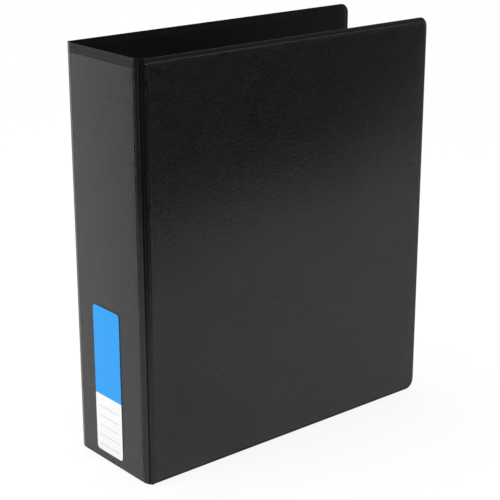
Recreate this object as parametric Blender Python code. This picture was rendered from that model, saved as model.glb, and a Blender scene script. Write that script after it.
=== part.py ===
"""An A4 insert binder with a four-ring D mechanism, standing on its lower edges.

Metres, +Z up. X runs along the covers from the spine to the free edges, the front cover faces -Y and the back
cover +Y. The origin is under the middle of the closed binder. The closed binder is the rest position.
"""

import math

import bmesh
import bpy
from mathutils import Vector

# Edges sharper than this stay sharp in the shading, and points nearer than this are one point
SHARP_ANGLE = math.radians(35.0)
MERGE_DISTANCE = 1e-6
AXIS_MARK_SIZE = 0.01

# Overall sizes of the closed binder
HEIGHT = 0.320
COVER_WIDTH = 0.2815
SPINE_WIDTH = 0.094

# Sheets and boards
OVERLAY_THICKNESS = 0.00025
SKIN_THICKNESS = 0.0004
BOARD_THICKNESS = 0.0020
LINING_THICKNESS = 0.00035
LAYER_GAP = 0.0002
BOARD_CLEARANCE = 0.0003

# Welded rim of each panel, and the corners at the free edges
WELD_MARGIN = 0.0035
HINGE_WELD_MARGIN = 0.0012
CORNER_RADIUS = 0.008
CORNER_STEPS = 6

# Clear pockets: how far they stop short of the raised face, and the open top of the spine's
OVERLAY_EDGE = 0.0005
SPINE_POCKET_DROP = 0.0035

# Vinyl hinges at the spine's two corners
HINGE_SPINE_ZONE = 0.0075
HINGE_COVER_ZONE = 0.0050
HINGE_GAP = 0.0003
HINGE_STEPS = 8

# Label on the spine
LABEL_WIDTH = 0.0335
LABEL_HEIGHT = 0.119
LABEL_THICKNESS = 0.00015
LABEL_RADIUS = 0.003
LABEL_FOOT = 0.0075
LABEL_OFFSET = 0.0035

# Ring mechanism: where it sits on the back cover
MECHANISM_FROM_SPINE = 0.054
RING_COUNT = 4
RING_FROM_END = 0.018
SEAT_GAP = 0.0002

# Sheet steel housing
HOUSING_LENGTH = 0.276
HOUSING_WIDTH = 0.034
HOUSING_RISE = 0.0098
HOUSING_SHOULDER = 0.0060
HOUSING_SHEET = 0.0009
HEM_WIDTH = 0.0016
HOUSING_STEPS = 14

# Hinge plates under the housing
PLATE_THICKNESS = 0.0011
PLATE_EDGE_GAP = 0.0003
PLATE_MIDDLE_GAP = 0.0005
PIVOT_RISE = 0.0047
PLATE_SEAT_GAP = 0.0006
PLATE_SETBACK = 0.0130
FINGER_WIDTH = 0.0032
FINGER_TIP_FROM_PIN = 0.0056
RING_SWING = math.radians(14.0)

# Rings
WIRE_DIAMETER = 0.0042
FOOT_FROM_MIDDLE = 0.0110
RING_RISE = 0.0775
POST_BEND_RADIUS = 0.014
BELLY_RADIUS = 0.027
BELLY_TURN = math.radians(125.0)
FOOT_BEND_RADIUS = 0.010
RING_JOINT_GAP = 0.0003
RING_JOINT_FLAT = 0.0030
STAKE_LENGTH = 0.0008
STAKE_CLEARANCE = 0.0003
NOTCH_CLEARANCE = 0.0008
BEND_STEPS = 8
BELLY_STEPS = 14
WIRE_ROUNDING = 3

# Levers and their pins
PIN_FROM_END = 0.0040
PIN_DIAMETER = 0.0024
PIN_CLEARANCE = 0.0003
PIN_HEAD = 0.0006
LEVER_WIDTH = 0.016
LEVER_SHEET = 0.0016
LEVER_RATIO = 2.2
LEVER_LEAN = math.radians(25.0)
LEVER_TIP_LEAN = math.radians(55.0)
LEVER_ARM = 0.0125
LEVER_TIP = 0.0065
JAW_HALF_GAP = 0.00135
JAW_THICKNESS = 0.0010
JAW_FLOOR = 0.0050
JAW_TIP = 0.0075
LEVER_SIDE_CLEARANCE = 0.0010
LEVER_BAY = 0.0120
HUB_STEPS = 10
PIN_STEPS = 16

# Rivets through the back cover and the housing
RIVET_SPACING = 0.160
RIVET_SHANK = 0.0050
RIVET_HEAD = 0.0100
RIVET_HEAD_RISE = 0.0014
RIVET_CROWN = 0.0085
RIVET_CROWN_RISE = 0.0010
RIVET_CLEARANCE = 0.0003
RIVET_PLATE_CLEARANCE = 0.0010
RIVET_STEPS = 20
HOLE_STEPS = 24
DOME_STEPS = 3

# Depths of the layers, measured inwards from a panel's outer face
SKIN_OUTER = OVERLAY_THICKNESS + LAYER_GAP
BOARD_OUTER = SKIN_OUTER + SKIN_THICKNESS + LAYER_GAP
BOARD_INNER = BOARD_OUTER + BOARD_THICKNESS
LINING_OUTER = BOARD_INNER + LAYER_GAP
PANEL_THICKNESS = LINING_OUTER + LINING_THICKNESS
WELD_DEPTH = (BOARD_OUTER + BOARD_INNER) / 2
RIM_OUTER = WELD_DEPTH - LAYER_GAP / 2 - SKIN_THICKNESS
RIM_INNER = WELD_DEPTH + LAYER_GAP / 2 + LINING_THICKNESS

# Places that several pieces share
SPINE_X = -COVER_WIDTH / 2
FRONT_Y = -SPINE_WIDTH / 2
BACK_Y = SPINE_WIDTH / 2
MIDDLE_Z = HEIGHT / 2
COVER_START_X = SPINE_X + HINGE_COVER_ZONE
COVER_PANEL_WIDTH = COVER_WIDTH - HINGE_COVER_ZONE
SPINE_PANEL_WIDTH = SPINE_WIDTH - 2 * HINGE_SPINE_ZONE

# The hinge axis sits where the vinyl lies straight, neither slack nor stretched, with the cover opened flat
HINGE_MIDDLE_DEPTH = (RIM_OUTER + RIM_INNER) / 2
HINGE_BEND_RADIUS = HINGE_COVER_ZONE - HINGE_MIDDLE_DEPTH
HINGE_LENGTH = HINGE_SPINE_ZONE - HINGE_COVER_ZONE + HINGE_BEND_RADIUS * math.pi / 2
HINGE_INSET = (HINGE_SPINE_ZONE + HINGE_COVER_ZONE - HINGE_LENGTH) / 2

# The rings spread evenly between the housing's ends, 80 mm apart as four-hole sheets are punched
RING_PITCH = (HOUSING_LENGTH - 2 * RING_FROM_END) / (RING_COUNT - 1)

# The mechanism's own frame: u along +X from its middle, v away from the back cover's lining
MECHANISM_X = SPINE_X + MECHANISM_FROM_SPINE
LINING_Y = BACK_Y - PANEL_THICKNESS
PIVOT_U = HOUSING_WIDTH / 2 - HOUSING_SHEET - PLATE_EDGE_GAP
PLATE_WIDTH = PIVOT_U - PLATE_MIDDLE_GAP / 2
HEM_RISE = PIVOT_RISE - PLATE_THICKNESS / 2 - PLATE_SEAT_GAP
HUB_RADIUS = JAW_HALF_GAP + JAW_THICKNESS
LEVER_SWING = RING_SWING * LEVER_RATIO
PLATE_LENGTH = HOUSING_LENGTH - 2 * PLATE_SETBACK
FINGER_LENGTH = PLATE_SETBACK - PIN_FROM_END - FINGER_TIP_FROM_PIN
PIN_OFFSET = HOUSING_LENGTH / 2 - PIN_FROM_END

# Ways that the panels and the mechanism are turned
FACING_FRONT = (math.radians(90), 0.0, 0.0)
FACING_BACK = (math.radians(-90), 0.0, 0.0)
FACING_LEFT = (math.radians(90), 0.0, math.radians(-90))
ALONG_X = (0.0, math.radians(90), 0.0)


def clear_scene():
    for old in list(bpy.data.objects):
        bpy.data.objects.remove(old, do_unlink=True)


def material(name, colour, roughness, metallic=0.0, alpha=1.0):
    made = bpy.data.materials.new(name)
    made.use_nodes = True
    shader = made.node_tree.nodes["Principled BSDF"]
    shader.inputs["Base Color"].default_value = (*colour, 1.0)
    shader.inputs["Roughness"].default_value = roughness
    shader.inputs["Metallic"].default_value = metallic
    shader.inputs["Alpha"].default_value = alpha
    return made


def axis_empty(name, location, parent=None):
    """An empty on a joint's axis, which carries that joint's pieces."""
    empty = bpy.data.objects.new(name, None)
    bpy.context.collection.objects.link(empty)
    empty.empty_display_size = AXIS_MARK_SIZE
    empty.parent = parent
    empty.location = Vector(location) - (world_place(parent) if parent else Vector())
    return empty


def world_place(empty):
    """Where an unturned empty lies in the world."""
    place = Vector(empty.location)
    while empty.parent:
        empty = empty.parent
        place += empty.location
    return place


def add_object(name, data, finish, parent, location, rotation=(0.0, 0.0, 0.0)):
    """Links an object at a place given in the world, under the empty that carries it."""
    made = bpy.data.objects.new(name, data)
    bpy.context.collection.objects.link(made)
    if finish:
        data.materials.append(finish)
    made.parent = parent
    made.location = Vector(location) - (world_place(parent) if parent else Vector())
    made.rotation_euler = rotation
    return made


def mesh_from(bm, name):
    bmesh.ops.recalc_face_normals(bm, faces=bm.faces)
    mesh = bpy.data.meshes.new(name)
    bm.to_mesh(mesh)
    bm.free()
    return mesh


def loft(name, loops):
    """A closed solid through loops of equally many points, capped at its first and last loop."""
    bm = bmesh.new()
    rings = [[bm.verts.new(point) for point in loop] for loop in loops]
    for lower, upper in zip(rings, rings[1:]):
        for i in range(len(lower)):
            bm.faces.new((lower[i - 1], lower[i], upper[i], upper[i - 1]))
    bm.faces.new(rings[0])
    bm.faces.new(rings[-1])
    return mesh_from(bm, name)


def prism(name, outline, start, end):
    """An outline in X and Y, extruded along Z."""
    return loft(name, [[(x, y, z) for x, y in outline] for z in (start, end)])


def arc(centre, radius, start, turn, steps):
    """Points on an arc, both ends included."""
    angles = [start + turn * i / steps for i in range(steps + 1)]
    return [(centre[0] + radius * math.cos(a), centre[1] + radius * math.sin(a)) for a in angles]


def add_cut(target, cutter):
    """Takes a hidden cutter away from a piece."""
    cutter.hide_render = True
    cutter.display_type = "WIRE"
    cut = target.modifiers.new(cutter.name, "BOOLEAN")
    cut.operation = "DIFFERENCE"
    cut.solver = "EXACT"
    cut.object = cutter


def round_cutter(name, radius, places, length, parent, rotation, steps):
    """Round cutters joined in one object, along its own Z, at places in its own frame."""
    bm = bmesh.new()
    for place in places:
        made = bmesh.ops.create_cone(
            bm, cap_ends=True, segments=steps, radius1=radius, radius2=radius, depth=length
        )
        bmesh.ops.translate(bm, verts=made["verts"], vec=place)
    return add_object(name, mesh_from(bm, name), None, parent, world_place(parent), rotation)


def box_cutter(name, boxes, parent):
    """Boxes joined in one cutter, each given by its low and high corner in the parent's frame."""
    bm = bmesh.new()
    for low, high in boxes:
        made = bmesh.ops.create_cube(bm, size=1.0)
        size = Vector(high) - Vector(low)
        bmesh.ops.scale(bm, verts=made["verts"], vec=size)
        bmesh.ops.translate(bm, verts=made["verts"], vec=Vector(low) + size / 2)
    return add_object(name, mesh_from(bm, name), None, parent, world_place(parent))


def smooth(piece):
    piece.data.shade_smooth()
    piece.data.set_sharp_from_angle(angle=SHARP_ANGLE)
    return piece


class Panel:
    """One stiff panel of the cover: its outline from left to right, and the corners at its right edge."""

    def __init__(self, left, right, left_margin, right_margin, radius):
        self.left = left
        self.right = right
        self.left_margin = left_margin
        self.right_margin = right_margin
        self.radius = radius

    def outline(self, share, extra, depth, drop=0.0):
        """The panel's outline, drawn in by a share of its margins and by an extra length, at a depth."""
        low_x = self.left + self.left_margin * share + extra
        high_x = self.right - self.right_margin * share - extra
        low_y = -HEIGHT / 2 + WELD_MARGIN * share + extra
        high_y = HEIGHT / 2 - WELD_MARGIN * share - extra - drop
        if not self.radius:
            flat = [(low_x, low_y), (high_x, low_y), (high_x, high_y), (low_x, high_y)]
        else:
            inset = self.right_margin * share + extra
            radius = max(self.radius - inset, LAYER_GAP)
            quarter = math.pi / 2
            lower = arc((high_x - radius, low_y + radius), radius, -quarter, quarter, CORNER_STEPS)
            upper = arc((high_x - radius, high_y - radius), radius, 0.0, quarter, CORNER_STEPS)
            flat = [(low_x, low_y), *lower, *upper, (low_x, high_y)]
        return [(x, y, -depth) for x, y in flat]


def sheet_tray(name, panel, face, back, rim_face, rim_back):
    """A vinyl sheet formed over the board: its raised face, the wall round the board and the welded rim."""
    wall = abs(back - face)
    return loft(
        name,
        [
            panel.outline(1.0, 0.0, face),
            panel.outline(1.0, 0.0, rim_face),
            panel.outline(0.0, 0.0, rim_face),
            panel.outline(0.0, 0.0, rim_back),
            panel.outline(1.0, wall, rim_back),
            panel.outline(1.0, wall, back),
        ],
    )


def build_panel(prefix, panel, finishes, parent, location, rotation):
    """The outer skin, the board and the lining of one panel."""
    skin_inner = SKIN_OUTER + SKIN_THICKNESS
    skin = sheet_tray(
        prefix + "_skin", panel, SKIN_OUTER, skin_inner, RIM_OUTER, RIM_OUTER + SKIN_THICKNESS
    )
    board_edge = max(SKIN_THICKNESS, LINING_THICKNESS) + BOARD_CLEARANCE
    board = loft(
        prefix + "_board",
        [panel.outline(1.0, board_edge, BOARD_OUTER), panel.outline(1.0, board_edge, BOARD_INNER)],
    )
    lining = sheet_tray(
        prefix + "_lining",
        panel,
        PANEL_THICKNESS,
        LINING_OUTER,
        RIM_INNER,
        RIM_INNER - LINING_THICKNESS,
    )
    return [
        add_object(prefix + "_skin", skin, finishes["vinyl"], parent, location, rotation),
        add_object(prefix + "_board", board, finishes["board"], parent, location, rotation),
        add_object(prefix + "_lining", lining, finishes["lining"], parent, location, rotation),
    ]


def build_overlay(name, panel, drop, finish, parent, location, rotation):
    """The clear pocket film over a panel's raised face, open at the top."""
    film = loft(
        name,
        [
            panel.outline(1.0, OVERLAY_EDGE, 0.0, drop),
            panel.outline(1.0, OVERLAY_EDGE, OVERLAY_THICKNESS, drop),
        ],
    )
    return add_object(name, film, finish, parent, location, rotation)


def build_spine(finishes):
    half = SPINE_PANEL_WIDTH / 2
    panel = Panel(-half, half, HINGE_WELD_MARGIN, HINGE_WELD_MARGIN, None)
    place = (SPINE_X, 0.0, MIDDLE_Z)
    build_panel("spine", panel, finishes, None, place, FACING_LEFT)
    build_overlay(
        "spine_overlay", panel, SPINE_POCKET_DROP, finishes["film"], None, place, FACING_LEFT
    )
    build_label(finishes)
    build_hinge_strip("front_hinge_strip", FRONT_Y, 1.0, finishes)
    build_hinge_strip("back_hinge_strip", BACK_Y, -1.0, finishes)


def build_label(finishes):
    """A sticker with round corners on the spine's film, its middle a little towards the back cover."""
    half_width = LABEL_WIDTH / 2
    half_height = LABEL_HEIGHT / 2
    outline = []
    for i, (side, level) in enumerate(((1, 1), (-1, 1), (-1, -1), (1, -1))):
        corner = (side * (half_width - LABEL_RADIUS), level * (half_height - LABEL_RADIUS))
        outline += arc(corner, LABEL_RADIUS, i * math.pi / 2, math.pi / 2, CORNER_STEPS)
    mesh = prism("spine_label", outline, LAYER_GAP, LAYER_GAP + LABEL_THICKNESS)
    place = (SPINE_X, LABEL_OFFSET, LABEL_FOOT + half_height)
    add_object("spine_label", mesh, finishes["label"], None, place, FACING_LEFT)


def build_hinge_strip(name, corner_y, inwards, finishes):
    """The welded vinyl that bends round one corner of the spine, from the spine's rim to the cover's."""
    outline = []
    for depth in (RIM_OUTER, RIM_INNER):
        radius = HINGE_COVER_ZONE - depth
        centre = (HINGE_COVER_ZONE, HINGE_COVER_ZONE)
        bend = arc(centre, radius, math.pi, math.pi / 2, HINGE_STEPS)
        side = [(depth, HINGE_SPINE_ZONE - HINGE_GAP), *bend]
        side[-1] = (HINGE_COVER_ZONE - HINGE_GAP, depth)
        outline += side if depth == RIM_OUTER else side[::-1]
    turned = [(x, inwards * y) for x, y in outline]
    mesh = prism(name, turned, 0.0, HEIGHT)
    add_object(name, mesh, finishes["vinyl"], None, (SPINE_X, corner_y, 0.0))


def build_front_cover(finishes):
    axis = axis_empty(
        "front_cover_axis", (SPINE_X + HINGE_INSET, FRONT_Y + HINGE_INSET, MIDDLE_Z)
    )
    panel = Panel(0.0, COVER_PANEL_WIDTH, HINGE_WELD_MARGIN, WELD_MARGIN, CORNER_RADIUS)
    place = (COVER_START_X, FRONT_Y, MIDDLE_Z)
    build_panel("front", panel, finishes, axis, place, FACING_FRONT)
    build_overlay("front_overlay", panel, 0.0, finishes["film"], axis, place, FACING_FRONT)


def build_back_cover(finishes):
    axis = axis_empty(
        "back_cover_axis", (SPINE_X + HINGE_INSET, BACK_Y - HINGE_INSET, MIDDLE_Z)
    )
    panel = Panel(0.0, COVER_PANEL_WIDTH, HINGE_WELD_MARGIN, WELD_MARGIN, CORNER_RADIUS)
    place = (COVER_START_X, BACK_Y, MIDDLE_Z)
    layers = build_panel("back", panel, finishes, axis, place, FACING_BACK)

    mechanism = axis_empty("mechanism_middle", (MECHANISM_X, LINING_Y, MIDDLE_Z), axis)
    rivet_places = [(0.0, side * RIVET_SPACING / 2) for side in (1, -1)]
    holes = round_cutter(
        "rivet_holes",
        RIVET_SHANK / 2 + RIVET_CLEARANCE,
        [(u, -z, 0.0) for u, z in rivet_places],
        4 * (PANEL_THICKNESS + HOUSING_RISE),
        mechanism,
        FACING_BACK,
        HOLE_STEPS,
    )
    bores = pin_bores(mechanism)
    housing = build_housing(mechanism, finishes)
    add_cut(housing, bores)
    for piece in (*layers, housing):
        add_cut(piece, holes)
    for label, (u, z) in zip(("top", "bottom"), rivet_places):
        build_rivet("rivet_" + label, mechanism, (u, z), finishes)
    build_plates_and_rings(mechanism, finishes)
    for label, end in (("top", 1), ("bottom", -1)):
        lever = build_lever(label, end, mechanism, finishes)
        add_cut(lever, bores)
        build_pin(label, end, mechanism, finishes)


def housing_side(inset):
    """The housing's arched side view in u and v, from one foot over the top to the other."""
    half = HOUSING_WIDTH / 2
    sagitta = HOUSING_RISE - HOUSING_SHOULDER
    radius = (half**2 + sagitta**2) / (2 * sagitta)
    centre_v = HOUSING_RISE - radius
    edge = half - inset
    spread = math.asin(edge / (radius - inset))
    top = arc((0.0, centre_v), radius - inset, math.pi / 2 - spread, 2 * spread, HOUSING_STEPS)
    return edge, top


def build_housing(mechanism, finishes):
    """The arched channel with hemmed feet, cut for the rings, the rivets, the levers and their pins."""
    outer, crown = housing_side(0.0)
    inner, vault = housing_side(HOUSING_SHEET)
    hem = inner - HEM_WIDTH
    right_foot = [(hem, HEM_RISE), (hem, SEAT_GAP), (outer, SEAT_GAP)]
    left_foot = [(-outer, SEAT_GAP), (-hem, SEAT_GAP), (-hem, HEM_RISE)]
    outline = [
        *right_foot,
        *crown,
        *left_foot,
        (-inner, HEM_RISE),
        *vault[::-1],
        (inner, HEM_RISE),
    ]
    turned = [(u, -v) for u, v in outline]
    mesh = prism("ring_housing", turned, -HOUSING_LENGTH / 2, HOUSING_LENGTH / 2)
    housing = add_object(
        "ring_housing", mesh, finishes["steel"], mechanism, world_place(mechanism)
    )
    add_cut(housing, ring_notches(mechanism))
    add_cut(housing, lever_bays(mechanism))
    return smooth(housing)


def ring_levels():
    """Heights of the rings above and below the mechanism's middle, from the top one down."""
    return [((RING_COUNT - 1) / 2 - i) * RING_PITCH for i in range(RING_COUNT)]


def ring_notches(mechanism):
    """Slots in the housing through which each ring half passes, long enough for its swing."""
    wire = WIRE_DIAMETER / 2
    sway = (HOUSING_RISE - PIVOT_RISE) * math.sin(RING_SWING)
    near = FOOT_FROM_MIDDLE - wire - NOTCH_CLEARANCE
    far = FOOT_FROM_MIDDLE + wire + sway + NOTCH_CLEARANCE
    half = wire + NOTCH_CLEARANCE
    boxes = []
    for level in ring_levels():
        for low_u, high_u in ((near, far), (-far, -near)):
            low = (low_u, -2 * HOUSING_RISE, level - half)
            high = (high_u, -PIVOT_RISE, level + half)
            boxes.append((low, high))
    return box_cutter("ring_notches", boxes, mechanism)


def lever_bays(mechanism):
    """The middle of the arch is open at both ends, so that the levers can stand up through it."""
    half = LEVER_WIDTH / 2 + LEVER_SIDE_CLEARANCE
    boxes = []
    for end in (1, -1):
        inside = end * (HOUSING_LENGTH / 2 - LEVER_BAY)
        outside = end * HOUSING_LENGTH
        low = (-half, -2 * HOUSING_RISE, min(inside, outside))
        high = (half, -SEAT_GAP, max(inside, outside))
        boxes.append((low, high))
    return box_cutter("lever_bays", boxes, mechanism)


def pin_bores(mechanism):
    """Round cutters across both ends of the mechanism, for the levers' pins."""
    return round_cutter(
        "pin_bores",
        PIN_DIAMETER / 2 + PIN_CLEARANCE,
        [(-end * PIN_OFFSET, -PIVOT_RISE, 0.0) for end in (1, -1)],
        2 * HOUSING_WIDTH,
        mechanism,
        ALONG_X,
        PIN_STEPS,
    )


def dome(radius, rise, base, side):
    """The profile of a domed head from its middle to its edge, standing out from a base on one side."""
    ball = (radius**2 + rise**2) / (2 * rise)
    spread = math.asin(min(radius / ball, 1.0))
    angles = [spread * i / DOME_STEPS for i in range(DOME_STEPS + 1)]
    foot = ball * math.cos(spread)
    return [(ball * math.sin(a), base + side * (ball * math.cos(a) - foot)) for a in angles]


def build_rivet(name, mechanism, place, finishes):
    """A rivet turned about its axis: the head outside the cover, the shank and the crown on the housing."""
    shank = RIVET_SHANK / 2
    outside = SKIN_OUTER - PANEL_THICKNESS - LAYER_GAP
    seat = HOUSING_RISE + SEAT_GAP
    crown = dome(RIVET_CROWN / 2, RIVET_CROWN_RISE, seat, 1)
    head = dome(RIVET_HEAD / 2, RIVET_HEAD_RISE, outside, -1)
    profile = [*crown, (shank, seat), (shank, outside), *head[::-1]]
    bm = bmesh.new()
    corners = [bm.verts.new((radius, 0.0, rise)) for radius, rise in profile]
    edges = [bm.edges.new(pair) for pair in zip(corners, corners[1:])]
    bmesh.ops.spin(
        bm,
        geom=corners + edges,
        cent=(0, 0, 0),
        axis=(0, 0, 1),
        angle=2 * math.pi,
        steps=RIVET_STEPS,
    )
    bmesh.ops.remove_doubles(bm, verts=bm.verts, dist=MERGE_DISTANCE)
    u, z = place
    spot = world_place(mechanism) + Vector((u, 0.0, z))
    rivet = add_object(
        name, mesh_from(bm, name), finishes["steel"], mechanism, spot, FACING_FRONT
    )
    return smooth(rivet)


def build_plates_and_rings(mechanism, finishes):
    """Each hinge plate tips about its outer edge and carries one half of every ring."""
    feet = stake_holes(mechanism)
    slots = plate_rivet_cutter(mechanism)
    for kind, side in (("arch", -1), ("post", 1)):
        spot = world_place(mechanism) + Vector((side * PIVOT_U, -PIVOT_RISE, 0.0))
        axis = axis_empty(kind + "_plate_axis", spot, mechanism)
        plate = build_plate(kind + "_plate", side, axis, finishes)
        add_cut(plate, feet)
        add_cut(plate, slots)
        path = arch_path() if kind == "arch" else post_path()
        for number, level in enumerate(ring_levels(), start=1):
            build_ring_half(f"ring_{kind}_{number}", path, side, level, axis, finishes)


def build_plate(name, side, axis, finishes):
    """A flat plate with a finger at each end of its inner edge, tipped down to the closed position."""
    half = PLATE_LENGTH / 2
    reach = half + FINGER_LENGTH
    shoulder = PLATE_WIDTH - FINGER_WIDTH
    outline = [
        (0.0, -half),
        (shoulder, -half),
        (shoulder, -reach),
        (PLATE_WIDTH, -reach),
        (PLATE_WIDTH, reach),
        (shoulder, reach),
        (shoulder, half),
        (0.0, half),
    ]
    loops = []
    for depth in (-PLATE_THICKNESS / 2, PLATE_THICKNESS / 2):
        loops.append([(-side * across, depth, along) for across, along in outline])
    tilt = (0.0, 0.0, -side * RING_SWING / 2)
    return add_object(name, loft(name, loops), finishes["steel"], axis, world_place(axis), tilt)


def stake_holes(mechanism):
    """Holes in the plates for the feet of the rings."""
    places = []
    for level in ring_levels():
        places += [(side * FOOT_FROM_MIDDLE, -level, 0.0) for side in (1, -1)]
    return round_cutter(
        "stake_holes",
        WIRE_DIAMETER / 2 + STAKE_CLEARANCE,
        places,
        4 * HOUSING_RISE,
        mechanism,
        FACING_BACK,
        HOLE_STEPS,
    )


def plate_rivet_cutter(mechanism):
    """Scallops in the plates' inner edges that leave the rivets clear."""
    return round_cutter(
        "plate_scallops",
        RIVET_SHANK / 2 + RIVET_PLATE_CLEARANCE,
        [(0.0, side * RIVET_SPACING / 2, 0.0) for side in (1, -1)],
        4 * HOUSING_RISE,
        mechanism,
        FACING_BACK,
        HOLE_STEPS,
    )


def plate_rise_at(across):
    """Height of a closed plate's middle, at a distance from the mechanism's middle."""
    return PIVOT_RISE - (PIVOT_U - across) * math.tan(RING_SWING / 2)


def foot_rise():
    """Height of the ring's staked end, just under its plate."""
    thickness = PLATE_THICKNESS / math.cos(RING_SWING / 2)
    return plate_rise_at(FOOT_FROM_MIDDLE) - thickness / 2 - STAKE_LENGTH


def ring_joint():
    """Where the two halves of a ring meet, on the short flat at the ring's top."""
    top_u = FOOT_FROM_MIDDLE - POST_BEND_RADIUS - RING_JOINT_FLAT / 2
    return top_u, RING_RISE - WIRE_DIAMETER / 2


def post_path():
    """The straight half in u and v: up from the plate, a quarter bend, then its share of the flat."""
    joint_u, top_v = ring_joint()
    centre = (joint_u + RING_JOINT_FLAT / 2, top_v - POST_BEND_RADIUS)
    bend = arc(centre, POST_BEND_RADIUS, 0.0, math.pi / 2, BEND_STEPS)
    return [(FOOT_FROM_MIDDLE, foot_rise()), *bend, (joint_u + RING_JOINT_GAP / 2, top_v)]


def arch_path():
    """The curved half in u and v: over the top, round the belly, then a slanted leg down to its foot."""
    joint_u, top_v = ring_joint()
    centre = (joint_u - RING_JOINT_FLAT / 2, top_v - BELLY_RADIUS)
    belly = arc(centre, BELLY_RADIUS, math.pi / 2, BELLY_TURN, BELLY_STEPS)
    slant = BELLY_TURN - math.pi / 2
    leg_u, leg_v = belly[-1]
    foot_u = -FOOT_FROM_MIDDLE
    bend_u = foot_u - FOOT_BEND_RADIUS * (1 - math.cos(slant))
    bend_v = leg_v - (bend_u - leg_u) / math.tan(slant)
    centre = (foot_u - FOOT_BEND_RADIUS, bend_v - FOOT_BEND_RADIUS * math.sin(slant))
    bend = arc(centre, FOOT_BEND_RADIUS, slant, -slant, BEND_STEPS)
    return [(joint_u - RING_JOINT_GAP / 2, top_v), *belly, *bend, (foot_u, foot_rise())]


def build_ring_half(name, path, side, level, axis, finishes):
    """Round wire along a path, as a curve with filled ends."""
    curve = bpy.data.curves.new(name, "CURVE")
    curve.dimensions = "3D"
    curve.bevel_depth = WIRE_DIAMETER / 2
    curve.bevel_resolution = WIRE_ROUNDING
    curve.use_fill_caps = True
    spline = curve.splines.new("POLY")
    spline.points.add(len(path) - 1)
    for point, (u, v) in zip(spline.points, path):
        point.co = (u - side * PIVOT_U, PIVOT_RISE - v, 0.0, 1.0)
    spline.use_smooth = True
    place = world_place(axis) + Vector((0.0, 0.0, level))
    add_object(name, curve, finishes["ring"], axis, place)


def lever_outline():
    """The lever's side view with its tongue level, as distances in from its pin and up from it."""
    lean = (-math.sin(LEVER_LEAN), math.cos(LEVER_LEAN))
    tip_lean = (-math.sin(LEVER_TIP_LEAN), math.cos(LEVER_TIP_LEAN))
    across = (math.cos(LEVER_LEAN), math.sin(LEVER_LEAN))
    tip_across = (math.cos(LEVER_TIP_LEAN), math.sin(LEVER_TIP_LEAN))
    half = LEVER_SHEET / 2

    def on_arm(length, side):
        return (lean[0] * length + across[0] * side, lean[1] * length + across[1] * side)

    def on_tip(length, side):
        end = on_arm(LEVER_ARM, 0.0)
        return (
            end[0] + tip_lean[0] * length + tip_across[0] * side,
            end[1] + tip_lean[1] * length + tip_across[1] * side,
        )

    hub_start = math.pi / 2 + LEVER_LEAN + math.asin(half / HUB_RADIUS)
    hub = arc((0.0, 0.0), HUB_RADIUS, hub_start, 3 * math.pi / 2 - hub_start, HUB_STEPS)
    miter = half * math.tan((LEVER_TIP_LEAN - LEVER_LEAN) / 2)
    return [
        (JAW_TIP, JAW_HALF_GAP),
        (JAW_TIP, HUB_RADIUS),
        on_arm(HUB_RADIUS + half, half),
        on_arm(LEVER_ARM + miter, half),
        on_tip(LEVER_TIP, half),
        on_tip(LEVER_TIP, -half),
        on_arm(LEVER_ARM - miter, -half),
        *hub,
        (JAW_TIP, -HUB_RADIUS),
        (JAW_TIP, -JAW_HALF_GAP),
        (JAW_FLOOR, -JAW_HALF_GAP),
        (JAW_FLOOR, JAW_HALF_GAP),
    ]


def pin_place(end, mechanism):
    """The middle of the pin at one end of the mechanism."""
    return world_place(mechanism) + Vector((0.0, -PIVOT_RISE, end * PIN_OFFSET))


def build_lever(label, end, mechanism, finishes):
    """A lever with its jaws round the plates' fingers, tipped to the closed position."""
    name = "lever_" + label
    half = LEVER_WIDTH / 2
    outline = lever_outline()
    loops = [[(u, -up, -end * inwards) for inwards, up in outline] for u in (-half, half)]
    tilt = (end * LEVER_SWING / 2, 0.0, 0.0)
    place = pin_place(end, mechanism)
    return smooth(add_object(name, loft(name, loops), finishes["lever"], mechanism, place, tilt))


def build_pin(label, end, mechanism, finishes):
    """The round pin that a lever turns on, held in the housing's two sides."""
    name = "lever_pin_" + label
    radius = PIN_DIAMETER / 2
    bm = bmesh.new()
    bmesh.ops.create_cone(
        bm,
        cap_ends=True,
        segments=PIN_STEPS,
        radius1=radius,
        radius2=radius,
        depth=HOUSING_WIDTH + 2 * PIN_HEAD,
    )
    place = pin_place(end, mechanism)
    smooth(add_object(name, mesh_from(bm, name), finishes["steel"], mechanism, place, ALONG_X))


def main():
    clear_scene()
    finishes = {
        "vinyl": material("black_vinyl", (0.012, 0.012, 0.013), 0.45),
        "lining": material("black_vinyl_inside", (0.009, 0.009, 0.010), 0.55),
        "board": material("grey_board", (0.42, 0.40, 0.36), 0.9),
        "film": material("clear_film", (0.9, 0.9, 0.9), 0.15, alpha=0.12),
        "label": material("label_paper", (0.10, 0.40, 0.90), 0.5),
        "steel": material("nickel_plate", (0.66, 0.65, 0.62), 0.25, 1.0),
        "ring": material("bright_nickel", (0.72, 0.71, 0.69), 0.15, 1.0),
        "lever": material("lever_nickel", (0.68, 0.67, 0.65), 0.2, 1.0),
    }
    build_spine(finishes)
    build_front_cover(finishes)
    build_back_cover(finishes)


main()
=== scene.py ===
# %% [markdown]
# This lesson dresses a ring binder: vinyl-covered boards, clear film pockets on the front and the
# spine, soft hinges, a paper label, and a steel ring mechanism inside the back cover.
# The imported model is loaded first. It is the fixed frame that every piece is set on, in metres.

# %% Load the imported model
import math

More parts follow.
